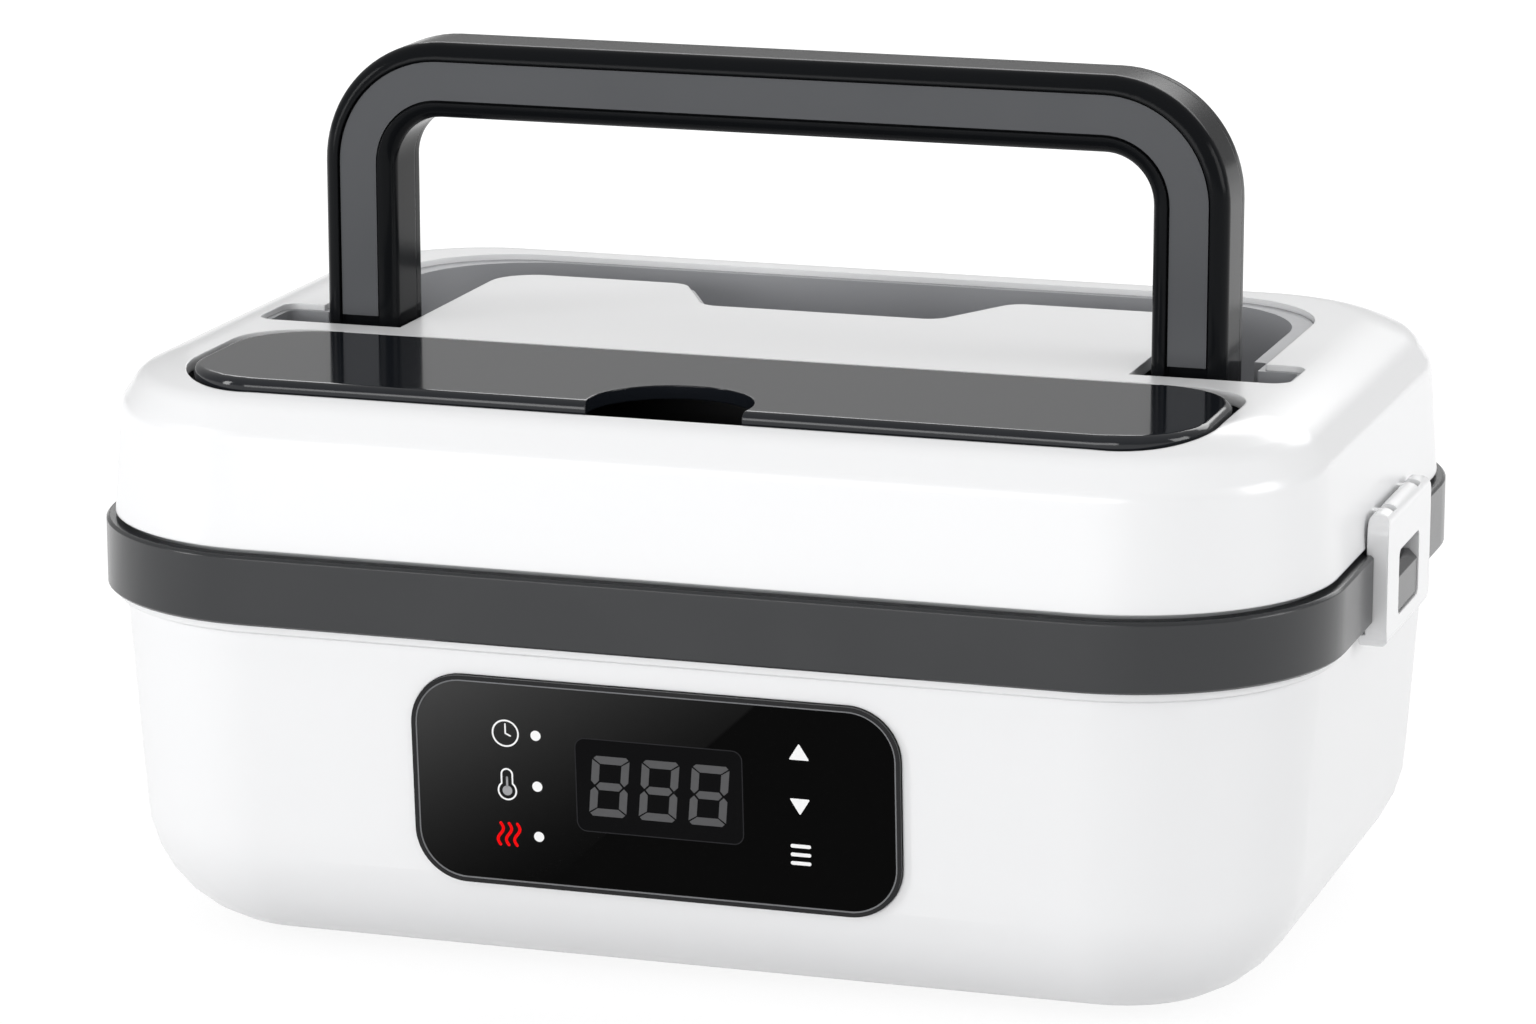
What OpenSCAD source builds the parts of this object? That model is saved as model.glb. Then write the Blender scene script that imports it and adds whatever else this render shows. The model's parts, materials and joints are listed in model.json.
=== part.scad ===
// Electric lunch box: a heated tub with a lift-off lid, two side latches, a fold-down handle
// and a cutlery compartment under a hinged cover. Millimetres, +Z up, origin under the centre.

/* [Body] */
// Width of the collar, the widest part of the body
body_w = 240; // [215:1:288]
// Depth of the collar
body_d = 168; // [160:1:202]
// Corner radius of the collar
corner_r = 41; // [38:0.5:49]
// Height of the base from its underside to the collar
base_h = 66.3; // [58:0.1:80]
// Radius between the base's walls and its floor
base_fillet = 25; // [20:0.5:30]
// Inward taper of the base's walls between the lip and the fillet
base_taper = 2.7; // [1:0.1:4]
// Wall of the base and lid shells
shell_wall = 2.4; // [2:0.1:2.9]
// Height of the rubber feet below the base
foot_h = 1.2; // [1:0.1:2]

/* [Collar] */
// Height of the collar
collar_h = 13.2; // [12:0.1:16]
// Wall of the collar
collar_wall = 3; // [2.6:0.1:3.6]

/* [Lid] */
// Height of the lid above its parting line
lid_h = 29.8; // [29.8:0.1:36]
// Gap between the collar and the lid's edge
lid_gap = 0.9; // [0.5:0.1:1.5]
// Width of the steep shoulder round the lid's top
shoulder_w = 3.7; // [3:0.1:4.5]
// Height of the steep shoulder
shoulder_h = 5.6; // [4.8:0.1:6.4]

/* [Handle] */
// Outer width of the handle
handle_w = 179.4; // [150:0.1:182]
// Width of a handle leg, and height of its bar
handle_bar = 14.6; // [12:0.1:15]
// Thickness of the handle, front to back
handle_t = 17; // [14.2:0.1:17.4]
// Height of the handle's top above the lid
handle_rise = 54.9; // [45.2:0.1:56]
// Outer radius of the handle's corners
handle_r = 24; // [20:1:28]
// Radius of the handle's pivot pins
pivot_pin_r = 2; // [1.6:0.1:2.4]

/* [Cutlery compartment] */
// Width of the compartment's cover
cover_w = 195.4; // [163:0.1:198]
// Front to back size of the cover
cover_d = 47.6; // [40:0.1:48.2]
// Corner radius of the cover
cover_r = 17; // [14:0.5:20]
// Gap along the cover's front and back
cover_gap = 0.8; // [0.6:0.1:1]
// Gap at the cover's two ends
cover_end_gap = 1.4; // [1:0.1:2.5]
// Radius of the half-moon finger notch
notch_r = 15.4; // [12.5:0.1:17]
// Depth of the compartment
tray_depth = 14.1; // [11:0.1:14.8]

/* [Latches] */
// Width of a latch
latch_w = 39; // [32:0.5:47]
// Thickness of a latch
latch_t = 4; // [3.6:0.1:4.6]
// Width of the window in a latch
window_w = 18.2; // [15:0.1:22]

/* [Food pot] */
// Outer width of the pot's wall
pot_w = 212; // [180:1:214]
// Outer depth of the pot's wall
pot_d = 130; // [110:1:132]
// Corner radius of the pot's wall
pot_r = 28; // [23:0.5:34]
// Sheet thickness of the pot
pot_sheet = 0.8; // [0.6:0.1:1]

/* [Control panel] */
// Width of the control panel
panel_w = 94; // [79:1:114]
// Height of the control panel
panel_h = 40.3; // [34:0.1:44]
// Corner radius of the control panel
panel_r = 10; // [8:0.5:12]

/* [Hidden] */

$fn = 64;
eps = 0.01;
cut = 1;
running_fit = 0.06;
piece_fit = 0.2;

// Heights
base_z = foot_h;
collar_z = base_z + base_h;
rim_z = collar_z + collar_h;
lid_z = rim_z + lid_gap;
lid_top = lid_z + lid_h;
lid_under = lid_top - shell_wall;

// Base shell, as insets from the collar's outline
lip_in = 1.9;
lip_h = 1.6;
wall_in = 3.7;
wall_low_in = wall_in + base_taper;
fillet_z = base_z + base_fillet;
wall_top_z = collar_z - lip_h - 0.7;
taper_angle = atan(base_taper / (wall_top_z - fillet_z));

// Lid shell, as insets from the collar's outline: wall, steep shoulder, gentle crown, flat top
lid_in = 1.8;
lid_draft = 1.5;
crown_w = 7.5;
crown_h = 3.1;
crease_in = lid_in + lid_draft;
crease_z = lid_top - crown_h - shoulder_h;
shoulder_in = crease_in + shoulder_w;
shoulder_z = crease_z + shoulder_h;
crown_in = shoulder_in + crown_w;
crease_round = 5;
shoulder_round = 6;
crown_round = 20;

// Collar's inner flange, housing and pot
flange_z = collar_z;
flange_t = 3;
flange_reach = 9;
housing_wall = 2;
housing_gap = 1;
housing_w = pot_w + 2 * (housing_gap + housing_wall);
housing_d = pot_d + 2 * (housing_gap + housing_wall);
housing_r = pot_r + housing_gap + housing_wall;
housing_top = flange_z + flange_t + housing_wall;
housing_floor = base_z + 13.8;
housing_fillet = 10;
plate_t = 2.5;
pot_z = housing_floor + housing_wall + plate_t;
pot_rim_z = housing_top + pot_sheet;
pot_fillet = 12;
pot_draft = 1.4;
pot_rim_w = 5;

// Heater
plate_w = 150;
plate_d = 88;
plate_r = 16;
pad_w = 130;
pad_d = 68;
pad_t = 3;
pad_z = housing_floor + housing_wall - pad_t;
thermostat_r = 8;
thermostat_h = 4.5;

// Power board on posts of the base
board_w = 52;
board_d = 40;
board_x = -40;
board_z = base_z + shell_wall + 2.6;
board_in = 4;

// Screws and feet
screw_r = 1.5;
screw_head_r = 3;
screw_head_h = 1.6;
boss_r = 4;
base_screw_x = 62;
base_screw_y = 40;
foot_x = 78;
foot_y = 42;
foot_r = 7;
foot_pocket = 1;

// Front panel, on the tapered wall
panel_z = base_z + 39.4;
panel_in = wall_in + base_taper * (wall_top_z - panel_z) / (wall_top_z - fillet_z);
panel_proud = 0.9;
bezel_depth = 5.4;
bezel_rim = 0.8;
glass_t = 1.8;
glass_proud = 0.2;
display_w = 34;
display_h = 19;
display_x = 1.7;
display_y = 0.8;
display_t = 3;
panel_board_t = 1.4;

// Power inlet, low on the back wall
inlet_w = 24;
inlet_h = 15;
inlet_depth = 9.5;
inlet_wall = 1.8;
inlet_z = base_z + 30;
inlet_in = wall_in + base_taper * (wall_top_z - inlet_z) / (wall_top_z - fillet_z);
inlet_flange = 2;
inlet_flange_t = 1.2;
inlet_pin_r = 1.2;
inlet_pin_gap = 8.6;
inlet_pin_sink = 1.2;

// Recess for the folded handle, from the handle's own sizes
pivot_drop = 0.4;
pivot_z = lid_top - pivot_drop - handle_t / 2;
handle_y = -5.5;
handle_top = lid_top + handle_rise;
leg_in = handle_w / 2 - handle_bar;
swing_gap = 0.6;
recess_wall = 1.3;
recess_floor = pivot_z - handle_t / 2 - swing_gap;
recess_floor_t = 1.8;
recess_edge_drop = 1.1;
channel_gap = 1.3;
shelf_w = 3.8;
channel_x = handle_w / 2 + channel_gap;
channel_front = handle_y - handle_t / 2 - 2.6;
channel_back = handle_y + handle_top - pivot_z + channel_gap;
channel_r = handle_r + channel_gap;
channel_front_r = 3.5;
recess_x = channel_x + shelf_w;
recess_front = channel_front - recess_wall;
recess_back = channel_back + recess_wall + 0.9;
recess_r = channel_r - 1;
ear_x = recess_x + 8;
ear_back = recess_front + 16.5;
ear_drop = 5.9;
ear_z = lid_top - ear_drop;
ear_step_y = recess_front + 23;
panel_x = leg_in - channel_gap - recess_wall;
panel_back = handle_y + handle_top - handle_bar - pivot_z - channel_gap - recess_wall;
panel_corner_r = 9;
grip_low = 24;
grip_high = 34;
grip_depth = 20;
grip_r = 5;
recess_flange = 2.5;
recess_flange_t = 1.8;

// Handle section
handle_round = 3.2;
inlay_w = 7.4;
inlay_sink = 0.5;
inlay_t = 1.2;
groove_w = 0.4;
groove_deep = 1.4;
back_t = 5;
inlay_low_z = lid_top + 1;
pin_reach = 11;

// Cutlery cover and tray
cover_proud = 0.4;
cover_top = lid_top + cover_proud;
cover_t = 2.6;
cover_round = 1.5;
opening_square = 4;
cover_skirt = 1.3;
cover_skirt_w = 1.4;
cover_back = recess_front - 7.7;
cover_front = cover_back - cover_d;
knuckle_r = 1.9;
hinge_y = cover_back - knuckle_r;
hinge_z = cover_top - knuckle_r;
hinge_pin_r = 0.8;
hinge_pin_l = 12;
lug_x = cover_w / 2 - 37.5;
lug_w = 4.4;
lug_r = 1.3;
lug_gap = 0.3;
tray_wall = 1.8;
tray_ledge_z = cover_top - cover_t - cover_skirt - 0.2;
tray_ledge = 3.2;
tray_floor = tray_ledge_z - tray_depth;
tray_flange = 1;

// Lid's inner cover and seal
inner_t = 2;
inner_z = lid_z + 3.4;
inner_skirt_z = rim_z - 3.6;
inner_in = lid_in + shell_wall + piece_fit + lid_draft * (inner_z + inner_t - lid_z) / (crease_z - lid_z);
seal_h = 3;
seal_z = pot_rim_z + piece_fit;
seal_w = 3.6;
lid_screw_in = 17.8;
lid_screw_x = panel_x - lid_screw_in;
lid_screw_y = [0, 28];
pillar_r = 3;
steam_r = 5;

// Latches
latch_gap = 0.4;
latch_back = body_w / 2 - lid_in + latch_gap;
latch_out = latch_back + latch_t;
latch_low = collar_z - 5;
latch_high = lid_z + 6.6;
latch_axis_x = body_w / 2 + 0.3;
latch_axis_z = lid_z + 4.4;
latch_round = 2.2;
latch_back_round = 1.5;
window_low = collar_z - 0.6;
window_high = collar_z + 11.9;
hook_reach = 1.4;
hook_drop = 0.5;
hook_top = collar_z - lip_h - hook_drop;
catch_out = latch_out - 0.2;
catch_h = 8.1;
catch_slope = 1.6;
latch_ear_y = 11;
latch_ear_w = 2.6;
latch_ear_r = 1.4;
latch_ear_gap = 0.2;
latch_pin_r = 0.9;

// Points of a quarter round, from angle a0 to a1 about [cx, cz]
function arc(cx, cz, r, a0, a1, n = 8) =
    [for (i = [0:n]) let (a = a0 + (a1 - a0) * i / n) [cx + r * cos(a), cz + r * sin(a)]];

// Unit normal on the right-hand side of the line from a to b
function normal(a, b) = [b[1] - a[1], a[0] - b[0]] / norm(b - a);

// Corner b of the line a, b, c moved to its right by w
function moved(a, b, c, w) =
    let (m = normal(a, b), n = normal(b, c)) b + w * (m + n) / (1 + m * n);

// Points of a round of radius r at corner b of the line a, b, c
function blend(a, b, c, r, n = 6) =
    let (
        u = (a - b) / norm(a - b),
        v = (c - b) / norm(c - b),
        half = acos(u * v) / 2,
        m = b + (u + v) / norm(u + v) * r / sin(half),
        p = b + u * r / tan(half) - m,
        q = b + v * r / tan(half) - m,
        from = atan2(p[1], p[0]),
        by = atan2(p[0] * q[1] - p[1] * q[0], p * q)
    ) [for (i = [0:n]) m + r * [cos(from + by * i / n), sin(from + by * i / n)]];

// To the nearest micron, so that a corner's edge and its neighbours' edges are the same
function snapped(v) = round(v * 1000) / 1000;

// A closed profile of [inset, z] points carried round a rounded rectangle
module swept(w, d, r, pts) {
    side = [for (p = pts) [-snapped(p[0]), p[1]]];
    turned = [for (p = pts) [r - snapped(p[0]), p[1]]];
    for (sx = [0, 1], sy = [0, 1])
        mirror([sx, 0, 0]) mirror([0, sy, 0])
            translate([w / 2 - r, d / 2 - r, 0])
                rotate_extrude(angle = 90) polygon(turned);
    for (s = [0, 1]) {
        mirror([s, 0, 0]) translate([w / 2, 0, 0]) rotate([90, 0, 0])
            linear_extrude(d - 2 * r, center = true) polygon(side);
        mirror([0, s, 0]) translate([0, d / 2, 0]) rotate([90, 0, 90])
            linear_extrude(w - 2 * r, center = true) polygon(side);
    }
}

// The middle that a swept shell's floor or top leaves open
module middle(w, d, r, z0, z1) {
    translate([-w / 2 + r, -d / 2 + r, z0]) cube([w - 2 * r, d - 2 * r, z1 - z0]);
}

// Rectangle between y0 and y1, centred on x, with its own front and back corner radii
module plan(w, y0, y1, rf, rb) {
    translate([-w / 2, y0 + rf]) square([w, y1 - y0 - rf - rb]);
    translate([-w / 2 + rf, y0]) square([w - 2 * rf, rf + eps]);
    translate([-w / 2 + rb, y1 - rb - eps]) square([w - 2 * rb, rb + eps]);
    for (s = [-1, 1]) {
        translate([s * (w / 2 - rf), y0 + rf]) circle(rf);
        translate([s * (w / 2 - rb), y1 - rb]) circle(rb);
    }
}

module rounded(w, d, r) {
    plan(w, -d / 2, d / 2, r, r);
}

// An upright prism from z0 to z1
module slab(z0, z1) {
    translate([0, 0, z0]) linear_extrude(z1 - z0) children();
}

// The same thing on the right and on the left
module both_sides() {
    children();
    mirror([1, 0, 0]) children();
}

module at_four(x, y) {
    for (sx = [-1, 1], sy = [-1, 1]) translate([sx * x, sy * y, 0]) children();
}

// A rod along X that starts at x
module rod_x(x, y, z, r, l) {
    translate([x, y, z]) rotate([0, 90, 0]) cylinder(r = r, h = l);
}

// A rod along Y, centred on y = 0
module rod_y(x, z, r, l) {
    translate([x, 0, z]) rotate([90, 0, 0]) cylinder(r = r, h = l, center = true);
}

// Places a flat drawing on the tapered front wall: x across, y up, thickness outwards
module on_front_wall() {
    translate([0, -body_d / 2 + panel_in, panel_z])
        rotate([90 + taper_angle, 0, 0]) children();
}

module panel_block(shrink, from, to) {
    on_front_wall() translate([0, 0, from]) linear_extrude(to - from)
        rounded(panel_w - 2 * shrink, panel_h - 2 * shrink, panel_r - shrink);
}

// The same on the tapered back wall
module on_back_wall() {
    translate([0, body_d / 2 - inlet_in, inlet_z])
        rotate([0, 0, 180]) rotate([90 + taper_angle, 0, 0]) children();
}

module inlet_block(grow, from, to) {
    on_back_wall() translate([0, 0, from]) linear_extrude(to - from)
        rounded(inlet_w + 2 * grow, inlet_h + 2 * grow, inlet_h / 2 + grow - 2);
}

// ---------- base ----------

module base_shell() {
    outer = concat(
        [[lip_in, collar_z], [lip_in, collar_z - lip_h], [wall_in, wall_top_z]],
        arc(wall_low_in + base_fillet, fillet_z, base_fillet, 180, 270),
        [[corner_r, base_z]]);
    inner = concat(
        [[corner_r, base_z + shell_wall]],
        arc(wall_low_in + base_fillet, fillet_z, base_fillet - shell_wall, 270, 180),
        [[wall_in + shell_wall, wall_top_z], [wall_in + shell_wall, collar_z]]);
    color("white") difference() {
        union() {
            swept(body_w, body_d, corner_r, concat(outer, inner));
            middle(body_w, body_d, corner_r, base_z, base_z + shell_wall);
            at_four(base_screw_x, base_screw_y)
                translate([0, 0, base_z + shell_wall - eps]) cylinder(r = boss_r, h = 2);
            board_posts();
        }
        panel_block(-piece_fit / 2, -bezel_depth - 4, panel_proud + 3);
        inlet_block(piece_fit / 2, -inlet_depth, 4);
        at_four(foot_x, foot_y)
            translate([0, 0, base_z - cut]) cylinder(r = foot_r + piece_fit / 2, h = foot_pocket + cut);
        at_four(base_screw_x, base_screw_y) {
            translate([0, 0, base_z - cut]) cylinder(r = screw_r, h = 9);
            translate([0, 0, base_z - cut]) cylinder(r = screw_head_r, h = screw_head_h + 0.4 + cut);
        }
    }
}

// Lugs that the latches catch on, with a sloped top to snap over
module catch_lug() {
    translate([0, (window_w - 1) / 2, 0]) rotate([90, 0, 0]) linear_extrude(window_w - 1)
        polygon([
            [body_w / 2 - collar_wall, collar_z], [catch_out, collar_z],
            [catch_out, collar_z + catch_h - catch_slope],
            [catch_out - catch_slope, collar_z + catch_h],
            [body_w / 2 - collar_wall, collar_z + catch_h]
        ]);
}

module base_collar() {
    edge = 0.5;
    section = [
        [0, collar_z + edge], [0, rim_z - edge], [edge, rim_z], [collar_wall, rim_z],
        [collar_wall, flange_z + flange_t], [flange_reach, flange_z + flange_t],
        [flange_reach, flange_z], [edge, collar_z]
    ];
    pocket_x = latch_back - latch_gap;
    color("dimgray") {
        difference() {
            swept(body_w, body_d, corner_r, section);
            both_sides()
                translate([pocket_x, -latch_w / 2 - latch_gap, collar_z - cut])
                    cube([8, latch_w + 2 * latch_gap, collar_h + 2 * cut]);
        }
        both_sides() catch_lug();
    }
}

module inner_housing() {
    low_in = 1.2;
    tub = concat(
        [[0, flange_z + flange_t]],
        arc(low_in + housing_fillet, housing_floor + housing_fillet, housing_fillet, 180, 270),
        [[housing_r, housing_floor], [housing_r, housing_floor + housing_wall]],
        arc(low_in + housing_fillet, housing_floor + housing_fillet,
            housing_fillet - housing_wall, 270, 180),
        [[housing_wall, flange_z + flange_t]]);
    rim_in = collar_wall + piece_fit;
    color("gainsboro") difference() {
        union() {
            swept(housing_w, housing_d, housing_r, tub);
            middle(housing_w, housing_d, housing_r, housing_floor, housing_floor + housing_wall);
            difference() {
                slab(flange_z + flange_t, housing_top)
                    rounded(body_w - 2 * rim_in, body_d - 2 * rim_in, corner_r - rim_in);
                slab(flange_z, housing_top + cut)
                    rounded(housing_w - 2 * housing_wall, housing_d - 2 * housing_wall,
                            housing_r - housing_wall);
            }
            at_four(base_screw_x, base_screw_y)
                translate([0, 0, base_z + shell_wall + 2])
                    cylinder(r = boss_r, h = housing_floor - base_z - shell_wall - 2 + eps);
        }
        slab(housing_floor - cut, housing_floor + housing_wall + cut)
            rounded(pad_w, pad_d, plate_r / 2);
        at_four(base_screw_x, base_screw_y)
            translate([0, 0, base_z]) cylinder(r = screw_r, h = housing_floor - base_z - 1);
    }
}

// The inside of the pot, less a margin
module pot_inside(margin) {
    in = pot_sheet + margin;
    pts = concat(
        [[in, pot_rim_z]],
        arc(pot_draft + pot_fillet, pot_z + pot_fillet, pot_fillet - in, 180, 270),
        [[pot_r, pot_z + in], [pot_r, pot_rim_z]]);
    swept(pot_w, pot_d, pot_r, pts);
    middle(pot_w, pot_d, pot_r, pot_z + in, pot_rim_z);
}

module food_pot() {
    pts = concat(
        [[-pot_rim_w, pot_rim_z], [-pot_rim_w, housing_top], [0, housing_top]],
        arc(pot_draft + pot_fillet, pot_z + pot_fillet, pot_fillet, 180, 270),
        [[pot_r, pot_z], [pot_r, pot_z + pot_sheet]],
        arc(pot_draft + pot_fillet, pot_z + pot_fillet, pot_fillet - pot_sheet, 270, 180),
        [[pot_sheet, pot_rim_z]]);
    color("silver") {
        swept(pot_w, pot_d, pot_r, pts);
        middle(pot_w, pot_d, pot_r, pot_z, pot_z + pot_sheet);
    }
}

// A loose plate that parts the pot into two, shaped to its inside
module pot_divider() {
    divider_x = pot_w / 6;
    divider_t = 1.2;
    divider_drop = 3.5;
    color("silver") intersection() {
        pot_inside(0.1);
        translate([divider_x, -pot_d / 2, 0]) cube([divider_t, pot_d, pot_rim_z - divider_drop]);
    }
}

module heating_plate() {
    z = housing_floor + housing_wall;
    color("lightgray") slab(z, z + plate_t) rounded(plate_w, plate_d, plate_r);
}

module heater_pad() {
    color("peru") slab(pad_z, pad_z + pad_t) rounded(pad_w - 2, pad_d - 2, plate_r / 2 - 1);
}

module thermostat() {
    color("silver") translate([0, 0, pad_z - thermostat_h]) {
        cylinder(r = thermostat_r, h = thermostat_h);
        translate([0, 0, thermostat_h - 1]) cylinder(r = thermostat_r + 2, h = 1);
    }
}

module thermal_fuse() {
    fuse_r = 2;
    fuse_l = 12;
    lead_r = 0.5;
    color("gold") translate([0, 24, pad_z - fuse_r]) {
        rod_x(-fuse_l / 2, 0, 0, fuse_r, fuse_l);
        rod_x(-fuse_l, 0, 0, lead_r, 2 * fuse_l);
    }
}

module board_posts() {
    for (sx = [-1, 1], sy = [-1, 1])
        translate([board_x + sx * (board_w / 2 - board_in), sy * (board_d / 2 - board_in),
                   base_z + shell_wall - eps])
            cylinder(r = 2.5, h = board_z - base_z - shell_wall + eps);
}

module power_board() {
    board_t = 1.6;
    color("green") translate([board_x, 0, board_z]) {
        slab(0, board_t) rounded(board_w, board_d, 2);
        translate([-16, -8, board_t - eps]) cube([15, 12, 4.4]);
        translate([6, -12, board_t - eps]) cylinder(r = 5, h = 4.4);
        translate([8, 8, board_t - eps]) cylinder(r = 4, h = 4.4);
    }
}

// ---------- control panel ----------

module panel_bezel() {
    color("silver") difference() {
        panel_block(0, -bezel_depth, panel_proud);
        panel_block(bezel_rim, panel_proud - glass_t - glass_proud, panel_proud + cut);
        panel_block(bezel_rim + 1.6, -bezel_depth - cut, panel_proud);
    }
}

module control_glass() {
    color("black")
        panel_block(bezel_rim, panel_proud - glass_t - glass_proud, panel_proud - glass_proud);
}

module display_module() {
    back = panel_proud - glass_t - glass_proud;
    color("dimgray") on_front_wall() translate([display_x, display_y, back - display_t])
        linear_extrude(display_t) rounded(display_w, display_h, 2);
}

module control_board() {
    front = panel_proud - glass_t - glass_proud - display_t;
    inset = bezel_rim + 2;
    color("green") on_front_wall() translate([0, 0, front - panel_board_t]) linear_extrude(panel_board_t)
        rounded(panel_w - 2 * inset, panel_h - 2 * inset, panel_r - inset);
}

// ---------- power inlet ----------

module power_inlet() {
    color("black") difference() {
        union() {
            inlet_block(0, -inlet_depth, 0.6);
            inlet_block(inlet_flange, 0.2, inlet_flange_t);
        }
        inlet_block(-inlet_wall, -inlet_depth + inlet_wall, inlet_flange_t + cut);
        on_back_wall() for (s = [-1, 1])
            translate([s * inlet_pin_gap / 2, 0, -inlet_depth - cut])
                cylinder(r = inlet_pin_r, h = inlet_wall + 2 * cut);
    }
}

module inlet_pins() {
    color("gold") on_back_wall() for (s = [-1, 1])
        translate([s * inlet_pin_gap / 2, 0, -inlet_depth])
            cylinder(r = inlet_pin_r, h = inlet_depth - inlet_pin_sink);
}

module rubber_feet() {
    color("darkgray") at_four(foot_x, foot_y) cylinder(r = foot_r, h = foot_h + foot_pocket);
}

module base_screws() {
    color("silver") at_four(base_screw_x, base_screw_y) translate([0, 0, base_z + 0.4]) {
        cylinder(r = screw_head_r - piece_fit / 2, h = screw_head_h);
        cylinder(r = screw_r, h = housing_floor - base_z - 2);
    }
}

// ---------- lid ----------

// White panel between the arms of the handle recess, with a grip notch at its back
module centre_panel(grow) {
    offset(delta = grow) offset(r = grip_r) offset(delta = -grip_r)
        offset(r = -grip_r) offset(delta = grip_r) difference() {
            plan(2 * panel_x, recess_front - 30, panel_back, 1, panel_corner_r);
            polygon([
                [-grip_high, panel_back + 10], [-grip_high, panel_back],
                [-grip_low, panel_back - grip_depth], [grip_low, panel_back - grip_depth],
                [grip_high, panel_back], [grip_high, panel_back + 10]
            ]);
        }
}

// Outline of the recess in the lid's top
module recess_plan(grow) {
    difference() {
        union() {
            plan(2 * (recess_x + grow), recess_front - grow, recess_back + grow, 4, recess_r);
            plan(2 * (ear_x + grow), recess_front - grow, ear_back + grow, 4, 3);
        }
        centre_panel(-grow);
    }
}

// The deep channel that the folded handle lies in
module channel_plan() {
    difference() {
        plan(2 * channel_x, channel_front, channel_back, channel_front_r, channel_r);
        centre_panel(recess_wall);
    }
}

module cover_plan(grow) {
    plan(cover_w + 2 * grow, cover_front - grow, cover_back + grow, cover_r + grow, cover_r + grow);
}

// Opening round the cover, squarer at the back so that the raised cover clears it
module opening_plan(grow) {
    g = cover_gap + grow;
    plan(cover_w + 2 * (cover_end_gap + grow), cover_front - g, cover_back + g,
         cover_r + g, cover_r - opening_square + grow);
}

// Ears on the lid's wall that carry a latch's pin
module latch_ears() {
    for (s = [-1, 1]) translate([0, s * latch_ear_y, 0]) {
        rod_y(latch_axis_x, latch_axis_z, latch_ear_r, latch_ear_w);
        translate([latch_back - 2, -latch_ear_w / 2, latch_axis_z - latch_ear_r])
            cube([latch_axis_x - latch_back + 2, latch_ear_w, 2 * latch_ear_r]);
    }
}

// The lid's shell before its cuts
module lid_blank() {
    foot = [lid_in, lid_z];
    crease = [crease_in, crease_z];
    shoulder = [shoulder_in, shoulder_z];
    crown = [crown_in, lid_top];
    flat = [corner_r, lid_top];
    outer = concat(
        [foot], blend(foot, crease, shoulder, crease_round),
        blend(crease, shoulder, crown, shoulder_round), blend(shoulder, crown, flat, crown_round),
        [flat]);
    inner = [
        [corner_r, lid_under], moved(shoulder, crown, flat, shell_wall),
        moved(crease, shoulder, crown, shell_wall), moved(foot, crease, shoulder, shell_wall),
        [lid_in + shell_wall, lid_z]
    ];
    swept(body_w, body_d, corner_r, concat(outer, inner));
    middle(body_w, body_d, corner_r, lid_under, lid_top);
}

module lid_shell() {
    color("white") difference() {
        union() {
            difference() {
                lid_blank();
                slab(lid_under - cut, lid_top + cut) recess_plan(0);
                slab(lid_under - crown_h, lid_top + cut) opening_plan(0);
            }
            both_sides() latch_ears();
            both_sides() for (y = lid_screw_y)
                translate([lid_screw_x, y, inner_z + inner_t])
                    cylinder(r = boss_r, h = lid_under - inner_z - inner_t + eps);
        }
        both_sides() rod_y(latch_axis_x, latch_axis_z, latch_pin_r, 60);
        both_sides() for (y = lid_screw_y)
            translate([lid_screw_x, y, inner_z]) cylinder(r = screw_r, h = 12);
    }
}

module lid_inner() {
    seal_rib_in = -pot_rim_w + 0.6;
    section = [
        [inner_in, inner_z + inner_t], [inner_in, inner_skirt_z],
        [inner_in + inner_t, inner_skirt_z], [inner_in + inner_t, inner_z],
        [corner_r, inner_z], [corner_r, inner_z + inner_t]
    ];
    rib = [
        [seal_rib_in, inner_z + eps], [seal_rib_in, seal_z + seal_h],
        [seal_rib_in + seal_w, seal_z + seal_h], [seal_rib_in + seal_w, inner_z + eps]
    ];
    color("whitesmoke") difference() {
        union() {
            swept(body_w, body_d, corner_r, section);
            middle(body_w, body_d, corner_r, inner_z, inner_z + inner_t);
            swept(pot_w, pot_d, pot_r, rib);
            for (x = [-lug_x, 0, lug_x])
                translate([x, (cover_front + cover_back) / 2, inner_z])
                    cylinder(r = pillar_r, h = tray_floor - tray_wall - inner_z);
            both_sides() translate([(leg_in + handle_w / 2) / 2, 25, inner_z])
                cylinder(r = pillar_r, h = recess_floor - recess_floor_t - inner_z);
            translate([0, channel_back - handle_bar / 2, inner_z])
                cylinder(r = pillar_r, h = recess_floor - recess_floor_t - inner_z);
        }
        both_sides() for (y = lid_screw_y)
            translate([lid_screw_x, y, inner_z - cut]) cylinder(r = screw_r, h = inner_t + 2 * cut);
        translate([0, 0, inner_z - cut]) cylinder(r = steam_r, h = inner_t + 2 * cut);
    }
}

module lid_seal() {
    seal_rib_in = -pot_rim_w + 0.6;
    section = [
        [seal_rib_in, seal_z + seal_h], [seal_rib_in, seal_z + 1], [seal_rib_in + 0.8, seal_z],
        [seal_rib_in + seal_w - 0.8, seal_z], [seal_rib_in + seal_w, seal_z + 1],
        [seal_rib_in + seal_w, seal_z + seal_h]
    ];
    color("lightgray") swept(pot_w, pot_d, pot_r, section);
}

module steam_plug() {
    color("lightgray") translate([0, 0, inner_z - 1.4]) {
        cylinder(r = steam_r + 2, h = 1.4);
        cylinder(r = steam_r, h = 1.4 + inner_t);
        translate([0, 0, 1.4 + inner_t]) cylinder(r1 = steam_r + 1, r2 = steam_r - 1, h = 1.8);
    }
}

module lid_screws() {
    color("silver") both_sides() for (y = lid_screw_y)
        translate([lid_screw_x, y, inner_z]) {
            translate([0, 0, -screw_head_h]) cylinder(r = screw_head_r, h = screw_head_h);
            cylinder(r = screw_r, h = 10);
        }
}

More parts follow.
